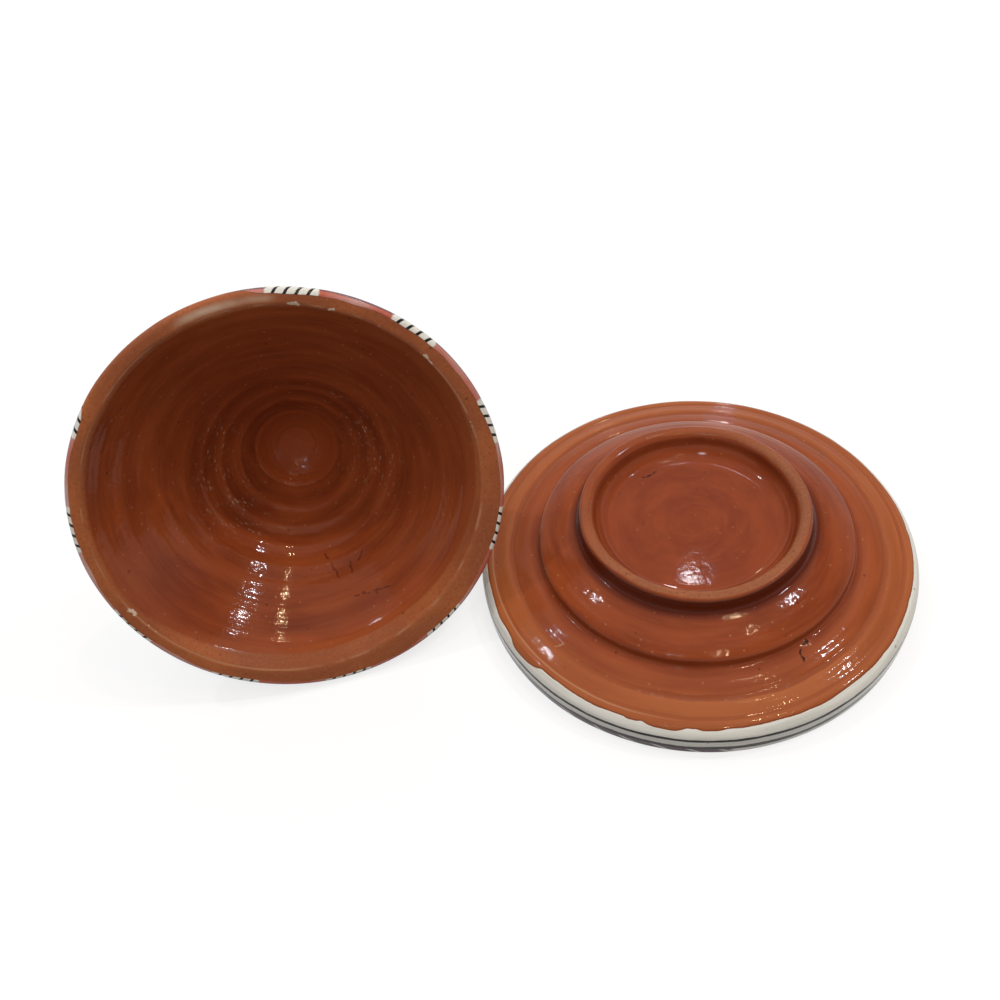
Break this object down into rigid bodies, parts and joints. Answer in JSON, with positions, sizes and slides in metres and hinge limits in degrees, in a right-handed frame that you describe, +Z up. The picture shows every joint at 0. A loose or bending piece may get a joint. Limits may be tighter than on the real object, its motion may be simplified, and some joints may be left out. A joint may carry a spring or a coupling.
{
  "type": "mini tagine dish",
  "caption": "Small thrown terracotta tagine: a shallow footed dish with a stepped flange and upright rim, turned over, and its conical lid with neck and knob lying on its side.",
  "frame": {"origin": "on the table, under the middle of the box round the two pieces as they lie", "axes": "+Z up from the table, +X from the lid to the dish, +Y away from the viewer whom the lid's mouth faces"},
  "size_m": [0.2174, 0.1508, 0.0979],
  "materials": {
    "dish_clay": "clear glaze over red-brown clay, white slip on the outside of the rim",
    "lid_clay": "clear glaze over red-brown clay inside, bare clay lip, painted white slip outside"
  },
  "bodies": {
    "dish": {"dish": "dish_clay"},
    "lid": {"lid": "lid_clay"}
  },
  "joints": [
    {"name": "lid_lift", "type": "slide", "parent": "dish", "child": "lid", "axis": [0, 0, 1], "range_m": [0, 0.12]}
  ]
}
